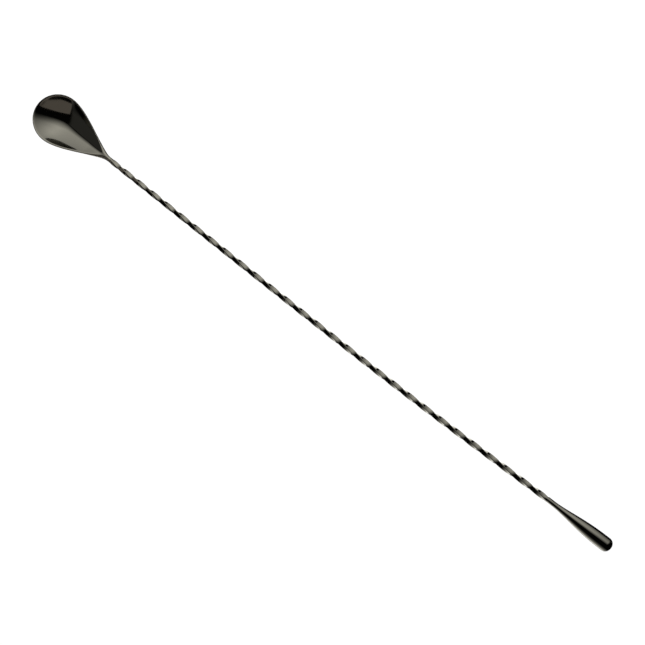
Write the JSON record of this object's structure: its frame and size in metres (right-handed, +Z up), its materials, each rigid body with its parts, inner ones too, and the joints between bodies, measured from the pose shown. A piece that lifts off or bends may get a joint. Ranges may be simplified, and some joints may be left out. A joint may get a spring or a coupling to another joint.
{
  "type": "bar spoon",
  "caption": "Long bar spoon with a pressed teardrop bowl, a right-hand twisted square stem and a turned teardrop weight, in polished gun-metal steel.",
  "frame": {"origin": "middle of the spoon's length and width, on the surface that it rests on", "axes": "+X along the spoon from the bowl to the weight, +Y across it, +Z up out of the bowl's hollow"},
  "size_m": [0.4001, 0.0294, 0.0088],
  "materials": {
    "gunmetal": "mirror-polished stainless steel with a dark gun-metal coating, very slightly warm",
    "brazing_filler": "brazing filler ground flush and polished, a little lighter and less sharp than the steel beside it"
  },
  "bodies": {
    "root": {"bowl": "gunmetal", "twisted_stem": "gunmetal", "teardrop_weight": "gunmetal", "bowl_filler_ring": "brazing_filler", "weight_filler_ring": "brazing_filler"}
  },
  "joints": []
}
